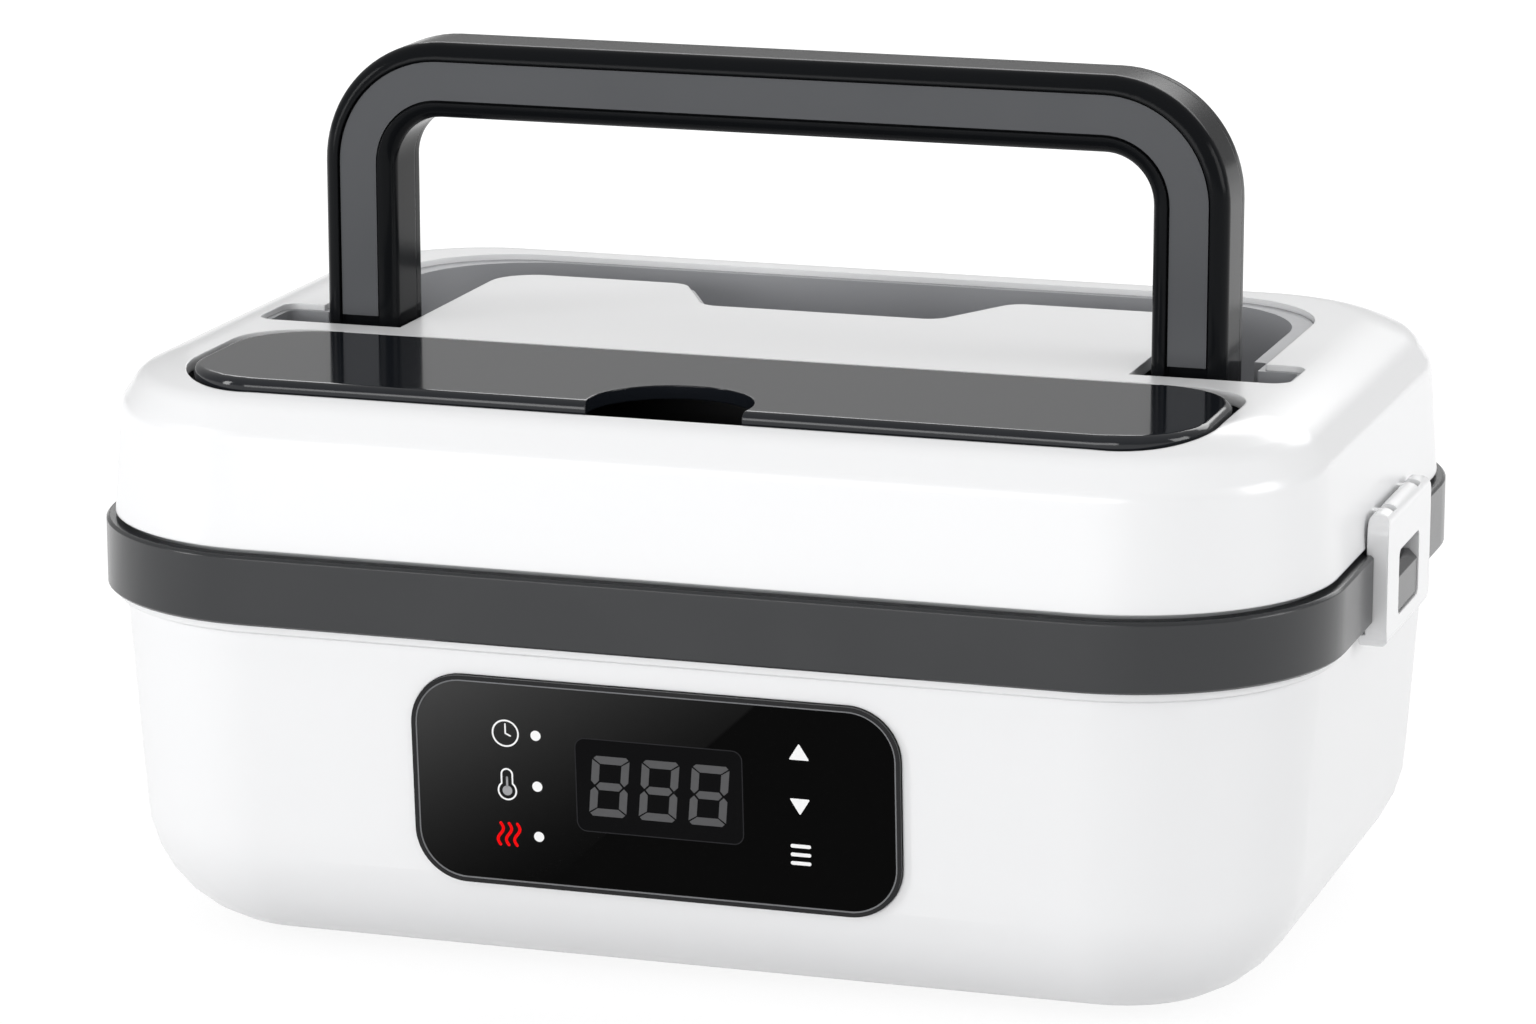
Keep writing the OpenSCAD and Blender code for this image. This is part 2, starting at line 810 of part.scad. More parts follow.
module handle_recess() {
    color("gray") difference() {
        union() {
            slab(lid_under - recess_flange_t, lid_under) recess_plan(recess_flange);
            slab(recess_floor - recess_floor_t, lid_top - recess_edge_drop)
                recess_plan(-piece_fit);
        }
        slab(recess_floor, lid_top) channel_plan();
        slab(ear_z, lid_top)
            plan(2 * (ear_x - recess_wall), channel_front, ear_back - recess_wall, 3, 2);
        slab(ear_z, lid_top)
            plan(2 * (recess_x - recess_wall), channel_front, ear_step_y, 2, 1);
        both_sides()
            rod_x(channel_x - cut, handle_y, pivot_z, pivot_pin_r, pin_reach + cut);
    }
}

module handle_pins() {
    color("silver") both_sides()
        rod_x(handle_w / 2 - handle_bar + 3, handle_y, pivot_z, pivot_pin_r,
              handle_bar - 3 + channel_gap + pin_reach);
}

// ---------- handle ----------

// Section of the handle: u from its inner to its outer face, v from front to back
module handle_section() {
    translate([handle_bar / 2, 0]) rounded(handle_bar, handle_t, handle_round);
}

module inlay_section() {
    translate([(handle_bar - inlay_w) / 2, -handle_t / 2 + inlay_sink]) square([inlay_w, inlay_t]);
}

// Everything behind the seam line
module back_section(sink) {
    translate([-cut, handle_t / 2 - back_t + sink]) square([handle_bar + 2 * cut, back_t + cut]);
}

// Carries a section up a leg, round the corner and along half of the bar
module bail(low_z) {
    corner_x = handle_w / 2 - handle_r;
    corner_z = handle_top - handle_r;
    both_sides() translate([0, handle_y, 0]) {
        translate([leg_in, 0, low_z]) linear_extrude(corner_z - low_z) children();
        translate([corner_x, 0, corner_z]) rotate([90, 0, 0])
            rotate_extrude(angle = 90) translate([handle_r - handle_bar, 0]) mirror([0, 1]) children();
        translate([corner_x, 0, corner_z]) rotate([0, -90, 0])
            linear_extrude(corner_x) translate([handle_r - handle_bar, 0]) children();
    }
}

// The legs end in a round about the pivot
module leg_ends() {
    both_sides() intersection() {
        translate([leg_in, handle_y, pivot_z - handle_t / 2])
            linear_extrude(handle_t / 2 + eps) children();
        rod_x(leg_in - cut, handle_y, pivot_z, handle_t / 2, handle_bar + 2 * cut);
    }
}

module pivot_bores() {
    both_sides() rod_x(leg_in + 3 - 0.5, handle_y, pivot_z, pivot_pin_r + running_fit, handle_bar);
}

module front_section() {
    difference() {
        handle_section();
        back_section(0);
        inlay_section();
        translate([(handle_bar - inlay_w) / 2 - groove_w, -handle_t / 2 - cut])
            square([inlay_w + 2 * groove_w, groove_deep + cut]);
    }
}

module handle_frame() {
    color("dimgray") difference() {
        union() {
            bail(pivot_z) front_section();
            leg_ends() difference() {
                handle_section();
                back_section(0);
            }
        }
        pivot_bores();
    }
}

module handle_back() {
    color("dimgray") {
        bail(pivot_z) intersection() {
            handle_section();
            back_section(0);
        }
        leg_ends() intersection() {
            handle_section();
            back_section(0);
        }
    }
}

module handle_inlay() {
    color("slategray") bail(inlay_low_z) inlay_section();
}

// ---------- cutlery compartment ----------

module cutlery_tray() {
    wall_top = tray_ledge_z - 1.8;
    color("dimgray") difference() {
        union() {
            slab(wall_top, lid_under) opening_plan(tray_flange);
            slab(tray_floor - tray_wall, wall_top + eps) cover_plan(tray_wall - tray_ledge);
        }
        slab(tray_ledge_z, lid_under + cut) opening_plan(piece_fit);
        slab(tray_floor, lid_under) cover_plan(-tray_ledge);
        difference() {
            lid_blank();
            slab(tray_floor, lid_top + cut) opening_plan(-piece_fit / 2);
        }
    }
    color("dimgray") both_sides() difference() {
        union() {
            rod_x(lug_x, hinge_y, hinge_z, lug_r, lug_w);
            translate([lug_x, hinge_y - lug_r, wall_top])
                cube([lug_w, 2 * lug_r, hinge_z - wall_top]);
        }
        rod_x(lug_x - cut, hinge_y, hinge_z, hinge_pin_r, lug_w + 2 * cut);
    }
}

module cover_pins() {
    color("silver") both_sides()
        rod_x(lug_x + lug_w / 2 - hinge_pin_l / 2, hinge_y, hinge_z, hinge_pin_r, hinge_pin_l);
}

module cutlery_cover() {
    straight = cover_w - 2 * cover_r;
    low = cover_top - cover_t;
    section = concat(
        [[0, low]], arc(cover_round, cover_top - cover_round, cover_round, 180, 90, 5),
        [[cover_r, cover_top], [cover_r, low]]);
    color("dimgray") difference() {
        union() {
            difference() {
                union() {
                    translate([0, cover_back - cover_d / 2, 0]) {
                        swept(cover_w, cover_d, cover_r, section);
                        middle(cover_w, cover_d, cover_r, low, cover_top);
                    }
                    slab(low - cover_skirt, low + eps) difference() {
                        cover_plan(-0.4);
                        cover_plan(-0.4 - cover_skirt_w);
                    }
                }
                translate([-straight / 2, hinge_y, low - cover_skirt - cut])
                    cube([straight, 4 * knuckle_r, cover_t + cover_skirt + 2 * cut]);
                translate([-cover_w / 2, hinge_y - 1, low - cover_skirt - cut])
                    cube([cover_w, 4 * knuckle_r, cover_skirt + cut]);
            }
            rod_x(-straight / 2, hinge_y, hinge_z, knuckle_r, straight);
        }
        translate([0, cover_front + notch_r / 4, low - cover_skirt - cut])
            cylinder(r = notch_r, h = cover_t + cover_skirt + 2 * cut);
        both_sides() {
            rod_x(lug_x - 5, hinge_y, hinge_z, hinge_pin_r + running_fit, lug_w + 10);
            rod_x(lug_x - lug_gap, hinge_y, hinge_z, lug_r + lug_gap, lug_w + 2 * lug_gap);
            translate([lug_x - lug_gap, hinge_y - lug_r - lug_gap, low - cover_skirt - cut])
                cube([lug_w + 2 * lug_gap, 2 * (lug_r + lug_gap) + cut,
                      hinge_z - low + cover_skirt + cut]);
            translate([lug_x - lug_gap, hinge_y, hinge_z - eps])
                cube([lug_w + 2 * lug_gap, 2 * knuckle_r, lug_r + lug_gap]);
        }
    }
}

// ---------- latches ----------

// Right-hand latch: a plate with a window, a hook under the catch and a pinned top
module latch() {
    color("whitesmoke") difference() {
        translate([0, latch_w / 2, 0]) rotate([90, 0, 0]) linear_extrude(latch_w)
            latch_profile();
        translate([0, 0, (window_low + window_high) / 2]) rotate([0, 90, 0])
            linear_extrude(2 * body_w) rounded(window_high - window_low, window_w, 1.5);
        for (s = [-1, 1]) translate([0, s * latch_ear_y, 0]) ear_space();
        for (s = [-1, 1], low = [0, 1]) corner_cut(s, low);
        rod_y(latch_axis_x, latch_axis_z, latch_pin_r + running_fit, latch_w - 4);
    }
}

module latch_profile() {
    polygon(concat(
        [[latch_back, hook_top], [latch_back - hook_reach, hook_top - 0.4],
         [latch_back - hook_reach, latch_low + 0.6], [latch_back - hook_reach + 0.6, latch_low]],
        arc(latch_out - latch_round, latch_low + latch_round, latch_round, 270, 360, 5),
        arc(latch_out - latch_round, latch_high - latch_round, latch_round, 0, 90, 5),
        arc(latch_back + latch_back_round, latch_high - latch_back_round, latch_back_round, 90, 180, 4)));
}

// Room for an ear of the lid while the latch swings
module ear_space() {
    r = latch_ear_r + latch_ear_gap;
    w = latch_ear_w + 2 * latch_ear_gap;
    rod_y(latch_axis_x, latch_axis_z, r, w);
    translate([latch_back - 5, -w / 2, latch_axis_z - r])
        cube([latch_axis_x - latch_back + 5, w, 2 * r]);
    translate([latch_back - 5, -w / 2, latch_axis_z])
        cube([latch_axis_x - latch_back + 5 + r, w, 8]);
}

// Rounds one upright edge of the latch's outline, seen from its outside
module corner_cut(side, low) {
    r = 4;
    z = low == 1 ? latch_low : latch_high;
    dir = low == 1 ? 1 : -1;
    translate([latch_back - 6, side * (latch_w / 2 - r), z + dir * r]) rotate([0, 90, 0])
        linear_extrude(16) difference() {
            translate([low == 1 ? 0 : -r - 1, side > 0 ? 0 : -r - 1]) square(r + 1);
            circle(r);
        }
}

module latch_right() {
    latch();
}

module latch_left() {
    mirror([1, 0, 0]) latch();
}

module latch_pins() {
    color("silver") both_sides() rod_y(latch_axis_x, latch_axis_z, latch_pin_r, latch_w - 5);
}

base_shell();
base_collar();
inner_housing();
food_pot();
pot_divider();
heating_plate();
heater_pad();
thermostat();
thermal_fuse();
power_board();
control_board();
display_module();
panel_bezel();
control_glass();
power_inlet();
inlet_pins();
rubber_feet();
base_screws();
lid_shell();
lid_inner();
lid_seal();
steam_plug();
lid_screws();
handle_recess();
cutlery_tray();
handle_pins();
cover_pins();
latch_pins();
handle_frame();
handle_back();
handle_inlay();
cutlery_cover();
latch_right();
latch_left();
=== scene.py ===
"""Electric lunch box: the finish of its parts, the graphics on its panel, camera and studio."""

import json
import math

import bmesh
import bpy
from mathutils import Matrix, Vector


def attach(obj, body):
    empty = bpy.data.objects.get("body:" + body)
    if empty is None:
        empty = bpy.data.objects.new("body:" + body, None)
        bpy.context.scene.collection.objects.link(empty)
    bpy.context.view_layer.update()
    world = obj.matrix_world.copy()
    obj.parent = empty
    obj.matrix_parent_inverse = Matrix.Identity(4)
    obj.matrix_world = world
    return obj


MM = 0.001
RIGHT = Vector((1, 0, 0))

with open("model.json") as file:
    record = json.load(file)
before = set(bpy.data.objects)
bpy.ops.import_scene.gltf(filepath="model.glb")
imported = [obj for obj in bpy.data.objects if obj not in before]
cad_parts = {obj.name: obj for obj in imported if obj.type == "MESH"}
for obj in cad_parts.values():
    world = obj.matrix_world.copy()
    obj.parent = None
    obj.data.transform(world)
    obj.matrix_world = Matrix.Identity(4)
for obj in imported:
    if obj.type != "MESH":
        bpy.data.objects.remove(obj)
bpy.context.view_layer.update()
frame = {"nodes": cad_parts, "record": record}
nodes = frame["nodes"]


def linked(name, data):
    """A new object in the scene."""
    obj = bpy.data.objects.new(name, data)
    bpy.context.scene.collection.objects.link(obj)
    return obj


def aimed(name, data, place, direction):
    """A new camera or lamp at a place, turned along a direction."""
    obj = linked(name, data)
    obj.location = place
    obj.rotation_mode = "QUATERNION"
    obj.rotation_quaternion = direction.to_track_quat("-Z", "Y")
    return obj


# ---------- surfaces ----------

# corners closer than this are one point
SEAM = 0.002 * MM
# edges that turn more than this stay sharp
SHARP = math.radians(38)


def joined_faces():
    """Nodes that join faces along their seams and keep only the edges above an angle sharp."""
    group = bpy.data.node_groups.new("joined_faces", "GeometryNodeTree")
    for way in ("INPUT", "OUTPUT"):
        group.interface.new_socket("Geometry", in_out=way, socket_type="NodeSocketGeometry")
    given = group.nodes.new("NodeGroupInput")
    made = group.nodes.new("NodeGroupOutput")
    merge = group.nodes.new("GeometryNodeMergeByDistance")
    merge.inputs["Distance"].default_value = SEAM
    angle = group.nodes.new("GeometryNodeInputMeshEdgeAngle")
    above = group.nodes.new("FunctionNodeCompare")
    above.operation = "GREATER_THAN"
    above.inputs[1].default_value = SHARP
    normals = group.nodes.new("GeometryNodeSetMeshNormal")
    normals.mode = "SHARPNESS"
    normals.inputs["Remove Custom"].default_value = True
    group.links.new(given.outputs[0], merge.inputs["Geometry"])
    group.links.new(merge.outputs["Geometry"], normals.inputs["Mesh"])
    group.links.new(angle.outputs["Unsigned Angle"], above.inputs[0])
    group.links.new(above.outputs[0], normals.inputs["Edge Sharpness"])
    group.links.new(normals.outputs[0], made.inputs[0])
    return group


smooth_shading = joined_faces()
for obj in nodes.values():
    joined = obj.modifiers.new("joined_faces", "NODES")
    joined.node_group = smooth_shading
    weighted = obj.modifiers.new("weighted_normals", "WEIGHTED_NORMAL")
    weighted.mode = "FACE_AREA"
    weighted.keep_sharp = True


# ---------- camera ----------

AZIMUTH = math.radians(17.65)
ELEVATION = math.radians(13.93)
DISTANCE = 1.1275
TARGET = Vector((0, 0, 0.0612))
LENS = 136.0
SENSOR = 36
SHIFT = (-0.0117, 0.0482)
CLIP = (0.05, 100)

camera_data = bpy.data.cameras.new("camera")
camera_data.lens = LENS
camera_data.sensor_width = SENSOR
camera_data.shift_x, camera_data.shift_y = SHIFT
camera_data.clip_start, camera_data.clip_end = CLIP
back = Vector((math.sin(AZIMUTH) * math.cos(ELEVATION),
               -math.cos(AZIMUTH) * math.cos(ELEVATION),
               math.sin(ELEVATION)))
bpy.context.scene.camera = aimed("camera", camera_data, TARGET + back * DISTANCE, -back)


# ---------- the panel's plane ----------

glass = nodes["control_glass"].data
facing = [face for face in glass.polygons if face.normal.y < -0.95]
total = sum(face.area for face in facing)
panel_normal = Vector((0, 0, 0))
panel_centre = Vector((0, 0, 0))
for face in facing:
    panel_normal += face.normal * (face.area / total)
    panel_centre += face.center * (face.area / total)
panel_normal.normalize()
panel_up = panel_normal.cross(RIGHT)
corners = [glass.vertices[i].co for face in facing for i in face.vertices]
glass_w = 2 * max(abs(corner.x) for corner in corners) / MM
glass_h = 2 * max(abs((corner - panel_centre).dot(panel_up)) for corner in corners) / MM


# ---------- shader nodes ----------

# the range that most of a noise texture's values lie in
NOISE_RANGE = (0.3, 0.7)
GRAIN_DEPTH = 0.02 * MM
DRIFT_SCALE = 25
GLOSS_SCALE = 60
BRUSH_SCALE = 400
TRACK_SCALE = 180
INK_SCALE = 900
COAT_ROUGHNESS = 0.1
BEVEL_SAMPLES = 6
# specular level of the panel's glass and of the ink on it
PANEL_SPECULAR = 0.04


def node_material(name):
    """A new material with its node tree, its shader and its object coordinates."""
    mat = bpy.data.materials.new(name)
    mat.use_nodes = True
    tree = mat.node_tree
    shader = tree.nodes["Principled BSDF"]
    coords = tree.nodes.new("ShaderNodeTexCoord")
    return mat, tree, shader, coords


def computed(tree, operation, a, b):
    """The result of a sum on two values, each a number or a socket."""
    node = tree.nodes.new("ShaderNodeMath")
    node.operation = operation
    for socket, value in zip(node.inputs, (a, b)):
        if isinstance(value, (int, float)):
            socket.default_value = value
        else:
            tree.links.new(value, socket)
    return node.outputs[0]


def remapped(tree, value, taken, given):
    """Maps a value from one range to another."""
    ramp = tree.nodes.new("ShaderNodeMapRange")
    for name, level in zip(("From Min", "From Max", "To Min", "To Max"), (*taken, *given)):
        ramp.inputs[name].default_value = level
    tree.links.new(value, ramp.inputs["Value"])
    return ramp.outputs["Result"]


def noise(tree, coords, scale, detail=2.0, stretch=(1, 1, 1)):
    """Noise fixed to the object, finer as scale grows, drawn out where stretch is small."""
    mapping = tree.nodes.new("ShaderNodeMapping")
    mapping.inputs["Scale"].default_value = stretch
    tree.links.new(coords.outputs["Object"], mapping.inputs["Vector"])
    tex = tree.nodes.new("ShaderNodeTexNoise")
    tex.inputs["Scale"].default_value = scale
    tex.inputs["Detail"].default_value = detail
    tree.links.new(mapping.outputs["Vector"], tex.inputs["Vector"])
    return tex.outputs["Fac"]


def tinted(tree, shader, value, color, amount):
    """Base colour that drifts by a small amount with a noise value."""
    mix = tree.nodes.new("ShaderNodeMix")
    mix.data_type = "RGBA"
    mix.inputs[6].default_value = [c * (1 - amount) for c in color] + [1]
    mix.inputs[7].default_value = [min(1, c * (1 + amount)) for c in color] + [1]
    tree.links.new(value, mix.inputs[0])
    tree.links.new(mix.outputs[2], shader.inputs["Base Color"])


def roughened(tree, shader, value, rough, amount):
    """Roughness that drifts by a share of itself with a noise value."""
    given = (rough * (1 - amount), rough * (1 + amount))
    tree.links.new(remapped(tree, value, NOISE_RANGE, given), shader.inputs["Roughness"])


def bumped(tree, shader, value, strength, start=None):
    """Relief from a noise value, on top of a given normal."""
    bump = tree.nodes.new("ShaderNodeBump")
    bump.inputs["Strength"].default_value = strength
    bump.inputs["Distance"].default_value = GRAIN_DEPTH
    tree.links.new(value, bump.inputs["Height"])
    if start:
        tree.links.new(start, bump.inputs["Normal"])
    tree.links.new(bump.outputs["Normal"], shader.inputs["Normal"])


def eased(tree, shader, radius):
    """Rounds the look of the sharp edges, as moulded edges are, and gives that normal."""
    bevel = tree.nodes.new("ShaderNodeBevel")
    bevel.samples = BEVEL_SAMPLES
    bevel.inputs["Radius"].default_value = radius
    for name in ("Normal", "Coat Normal"):
        tree.links.new(bevel.outputs["Normal"], shader.inputs[name])
    return bevel.outputs["Normal"]


# ---------- materials ----------

def plastic(name, color, rough, drift=0.03, grain=2500, relief=0.15, coat=0.0,
            specular=0.5, edge=0.0):
    """Moulded plastic: slight colour drift, and a fine grain with uneven gloss if it has relief."""
    mat, tree, shader, coords = node_material(name)
    tinted(tree, shader, noise(tree, coords, DRIFT_SCALE), color, drift)
    rounded = eased(tree, shader, edge) if edge else None
    if relief:
        roughened(tree, shader, noise(tree, coords, GLOSS_SCALE, 3), rough, 0.1)
        bumped(tree, shader, noise(tree, coords, grain, 3), relief, rounded)
    else:
        shader.inputs["Roughness"].default_value = rough
    shader.inputs["Coat Weight"].default_value = coat
    shader.inputs["Coat Roughness"].default_value = COAT_ROUGHNESS
    shader.inputs["Specular IOR Level"].default_value = specular
    return mat


def metal(name, color, rough, stretch):
    """Metal with brush marks along the axis that stretch leaves long."""
    mat, tree, shader, coords = node_material(name)
    marks = noise(tree, coords, BRUSH_SCALE, 4, stretch)
    tinted(tree, shader, marks, color, 0.08)
    roughened(tree, shader, marks, rough, 0.3)
    bumped(tree, shader, marks, 0.2)
    shader.inputs["Metallic"].default_value = 1
    return mat


def circuit_board(name):
    """Solder-mask green with a faint grid of tracks."""
    mat, tree, shader, coords = node_material(name)
    bricks = tree.nodes.new("ShaderNodeTexBrick")
    bricks.inputs["Scale"].default_value = TRACK_SCALE
    bricks.inputs["Mortar Size"].default_value = 0.06
    bricks.inputs["Color1"].default_value = (0.012, 0.09, 0.03, 1)
    bricks.inputs["Color2"].default_value = (0.010, 0.075, 0.026, 1)
    bricks.inputs["Mortar"].default_value = (0.03, 0.16, 0.05, 1)
    tree.links.new(coords.outputs["Object"], bricks.inputs["Vector"])
    tree.links.new(bricks.outputs["Color"], shader.inputs["Base Color"])
    roughened(tree, shader, noise(tree, coords, 200), 0.4, 0.25)
    return mat


def printed(name, color, rough=0.35, glow=0.0):
    """Ink of the panel's graphics."""
    mat, tree, shader, coords = node_material(name)
    tinted(tree, shader, noise(tree, coords, INK_SCALE), color, 0.05)
    shader.inputs["Roughness"].default_value = rough
    shader.inputs["Specular IOR Level"].default_value = PANEL_SPECULAR
    if glow:
        shader.inputs["Emission Color"].default_value = list(color) + [1]
        shader.inputs["Emission Strength"].default_value = glow
    return mat


# the painted reflection's level: at the panel's centre, and its change per millimetre across and up
PAINTED_REFLECTION_CENTRE = 0.053
PAINTED_REFLECTION_ACROSS = -0.0026
PAINTED_REFLECTION_UP = 0.0046
PAINTED_REFLECTION_POWER = 2.1
# rise of the slanted line, and the millimetres over which the painted reflection starts above it
SLANT = 0.935
SLANT_EDGE = (0.2, 1.0)
SPECKLE = 0.0006


def panel_glass(name):
    """Black glass with a painted reflection: a soft sheen painted into its colour on its left, that
    ends along a slanted line.
    """
    mat, tree, shader, coords = node_material(name)

    def along(direction):
        """Distance in millimetres from the panel's centre along a direction."""
        dot = tree.nodes.new("ShaderNodeVectorMath")
        dot.operation = "DOT_PRODUCT"
        tree.links.new(coords.outputs["Object"], dot.inputs[0])
        dot.inputs[1].default_value = direction / MM
        centre = panel_centre.dot(direction) / MM
        return computed(tree, "SUBTRACT", dot.outputs["Value"], centre)

    u = along(RIGHT)
    v = along(panel_up)
    level = computed(tree, "ADD", computed(tree, "MULTIPLY", u, PAINTED_REFLECTION_ACROSS),
                     computed(tree, "MULTIPLY", v, PAINTED_REFLECTION_UP))
    level = computed(tree, "MAXIMUM", computed(tree, "ADD", level, PAINTED_REFLECTION_CENTRE), 0.0)
    level = computed(tree, "POWER", level, PAINTED_REFLECTION_POWER)
    past = computed(tree, "SUBTRACT", v, computed(tree, "MULTIPLY", u, SLANT))
    # painted reflection: the sheen is drawn into the glass's base colour and stays fixed on it
    painted_reflection = computed(tree, "MULTIPLY", level, remapped(tree, past, SLANT_EDGE, (0, 1)))
    specks = computed(tree, "MULTIPLY", noise(tree, coords, INK_SCALE), SPECKLE)
    tree.links.new(computed(tree, "ADD", painted_reflection, specks), shader.inputs["Base Color"])
    shader.inputs["Roughness"].default_value = 0.08
    shader.inputs["Specular IOR Level"].default_value = PANEL_SPECULAR
    return mat


EASED = 0.4 * MM

PLASTICS = {
    "white_shell": dict(color=(0.86, 0.863, 0.87), rough=0.3, drift=0.004, relief=0, coat=0.3,
                        edge=EASED),
    "dark_plastic": dict(color=(0.011, 0.0123, 0.0145), rough=0.22, grain=1600, relief=0.12,
                         specular=0.6, edge=EASED),
    "handle_plastic": dict(color=(0.006, 0.0066, 0.0076), rough=0.15, relief=0, specular=0.06,
                           edge=0.5 * MM),
    "dark_inlay": dict(color=(0.053, 0.056, 0.062), rough=0.36, relief=0.3, specular=0.35),
    "recess_plastic": dict(color=(0.35, 0.355, 0.37), rough=0.42),
    "glossy_cover": dict(color=(0.008, 0.0095, 0.0125), rough=0.09, relief=0, specular=0.4,
                         edge=EASED),
    "latch_plastic": dict(color=(0.88, 0.883, 0.89), rough=0.26, drift=0.006, relief=0, coat=0.3,
                          edge=EASED),
    "panel_trim": dict(color=(0.006, 0.006, 0.007), rough=0.12, relief=0, specular=0.3),
    "grey_plastic": dict(color=(0.52, 0.53, 0.54), rough=0.5),
    "black_plastic": dict(color=(0.012, 0.012, 0.014), rough=0.45),
    "heater": dict(color=(0.42, 0.2, 0.06), rough=0.5, drift=0.15),
    "rubber": dict(color=(0.05, 0.05, 0.052), rough=0.75, relief=0.4),
    "silicone": dict(color=(0.55, 0.56, 0.57), rough=0.55, relief=0.3),
}
METALS = {
    "stainless_steel": dict(color=(0.62, 0.62, 0.63), rough=0.24, stretch=(0.03, 1, 1)),
    "aluminium": dict(color=(0.72, 0.73, 0.74), rough=0.32, stretch=(1, 0.05, 1)),
    "brass": dict(color=(0.75, 0.52, 0.2), rough=0.22, stretch=(1, 1, 0.1)),
}

materials = {name: plastic(name, **look) for name, look in PLASTICS.items()}
materials.update({name: metal(name, **look) for name, look in METALS.items()})
materials["circuit_board"] = circuit_board("circuit_board")
materials["panel_glass"] = panel_glass("panel_glass")

slot_of = {part["node"]: part["material_slot"] for part in frame["record"]["subparts"]}
slot_of["handle_frame"] = slot_of["handle_back"] = "handle_plastic"
for name, obj in nodes.items():
    for slot in obj.material_slots:
        slot.material = materials[slot_of[name]]

white_ink = printed("white_ink", (0.8, 0.8, 0.8), glow=0.15)
grey_ink = printed("grey_ink", (0.36, 0.36, 0.37))
red_ink = printed("red_ink", (0.85, 0.006, 0.008), glow=0.25)
segment_ink = printed("segment_ink", (0.1, 0.1, 0.103), rough=0.3)
window_ink = printed("window_ink", (0.003, 0.003, 0.0034), rough=0.12)
window_line = printed("window_line", (0.022, 0.022, 0.024), rough=0.2)
# painted highlight: light grey ink that stands for the glint along the bezel's bevel
painted_highlight_line = printed("painted_highlight_line", (0.2, 0.203, 0.21), rough=0.25)


# ---------- outlines on the panel, in millimetres ----------

def circle(cu, cv, r, start=0, end=360, n=40):
    """Points of a circle, or of an arc with both its ends."""
    whole = end - start == 360
    angles = [math.radians(start + (end - start) * i / n) for i in range(n if whole else n + 1)]
    return [(cu + r * math.cos(a), cv + r * math.sin(a)) for a in angles]


def rounded_rect(cu, cv, w, h, r, n=10):
    """Points of a rectangle whose corners are arcs."""
    points = []
    for su, sv, start in ((1, 1, 0), (-1, 1, 90), (-1, -1, 180), (1, -1, 270)):
        points += circle(cu + su * (w / 2 - r), cv + sv * (h / 2 - r), r, start, start + 90, n)
    return points


def rounded_polygon(points, r, n=4):
    """Points of a polygon whose corners are curves that start r from the corner."""
    out = []
    count = len(points)
    for i in range(count):
        corner = Vector(points[i])
        first = corner + (Vector(points[i - 1]) - corner).normalized() * r
        last = corner + (Vector(points[(i + 1) % count]) - corner).normalized() * r
        for k in range(n + 1):
            t = k / n
            out.append(tuple(first * (1 - t) ** 2 + corner * (2 * t * (1 - t)) + last * t ** 2))
    return out


def stroke(points, width):
    """Quads along a line, with a disc at each point for round joins and ends."""
    shapes = []
    for (u0, v0), (u1, v1) in zip(points, points[1:]):
        half = width / 2 / math.hypot(u1 - u0, v1 - v0)
        du, dv = (v0 - v1) * half, (u1 - u0) * half
        shapes.append([(u0 + du, v0 + dv), (u0 - du, v0 - dv),
                       (u1 - du, v1 - dv), (u1 + du, v1 + dv)])
    return shapes + [circle(u, v, width / 2, n=12) for u, v in points]


def ring(outer, inner):
    """Quads between two outlines with the same number of points."""
    count = len(outer)
    return [[outer[i], outer[(i + 1) % count], inner[(i + 1) % count], inner[i]]
            for i in range(count)]


# ---------- panel graphics ----------

# height of the ink above the glass
INK = 0.03


def on_panel(u, v, h):
    """A point on the panel: u across, v up and h out of the glass, in millimetres."""
    return panel_centre + RIGHT * (u * MM) + panel_up * (v * MM) + panel_normal * (h * MM)


def graphic(name, outlines, material, high=INK):
    """One flat piece made of closed outlines of (u, v) points."""
    bm = bmesh.new()
    for outline in outlines:
        lower = [bm.verts.new(on_panel(u, v, 0)) for u, v in outline]
        upper = [bm.verts.new(on_panel(u, v, high)) for u, v in outline]
        bm.faces.new(upper)
        for i in range(len(outline)):
            j = (i + 1) % len(outline)
            bm.faces.new([lower[i], lower[j], upper[j], upper[i]])
    bmesh.ops.recalc_face_normals(bm, faces=bm.faces)
    mesh = bpy.data.meshes.new(name)
    bm.to_mesh(mesh)
    bm.free()
    obj = linked(name, mesh)
    mesh.materials.append(material)
    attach(obj, "base")


# painted highlight: a light grey ring along the glass's edge, for the glint on the bezel's bevel
HIGHLIGHT_RIM = 0.28
HIGHLIGHT_RIM_HEIGHT = 0.1
GLASS_CORNER = 9.2
graphic(
    "panel_rim_painted_highlight",
    ring(rounded_rect(0, 0, glass_w, glass_h, GLASS_CORNER, 16),
         rounded_rect(0, 0, glass_w - 2 * HIGHLIGHT_RIM, glass_h - 2 * HIGHLIGHT_RIM, GLASS_CORNER - HIGHLIGHT_RIM, 16)),
    painted_highlight_line, high=HIGHLIGHT_RIM_HEIGHT)

# columns and rows of the icons, dots and keys
ICON_U = -28.6
DOT_U = -22.7
KEY_U = 27.9
ROWS = (9.6, -0.3, -10.1)
CLOCK_V, THERMOMETER_V, HEAT_V = ROWS
ICON_LINE = 0.32

CLOCK_R = 2.65
CLOCK_HANDS = ((0, 1.8), (0, 0), (0.95, -0.45))
graphic(
    "icon_clock",
    ring(circle(ICON_U, CLOCK_V, CLOCK_R), circle(ICON_U, CLOCK_V, CLOCK_R - ICON_LINE))
    + stroke([(ICON_U + u, CLOCK_V + v) for u, v in CLOCK_HANDS], 0.3),
    white_ink)

# thermometer: outline of a bulb and stem, with a grey bulb and a thin column inside
BULB_R = 1.9
STEM_R = 1.22
BULB_V = THERMOMETER_V - 1.25
STEM_V = THERMOMETER_V + 1.9


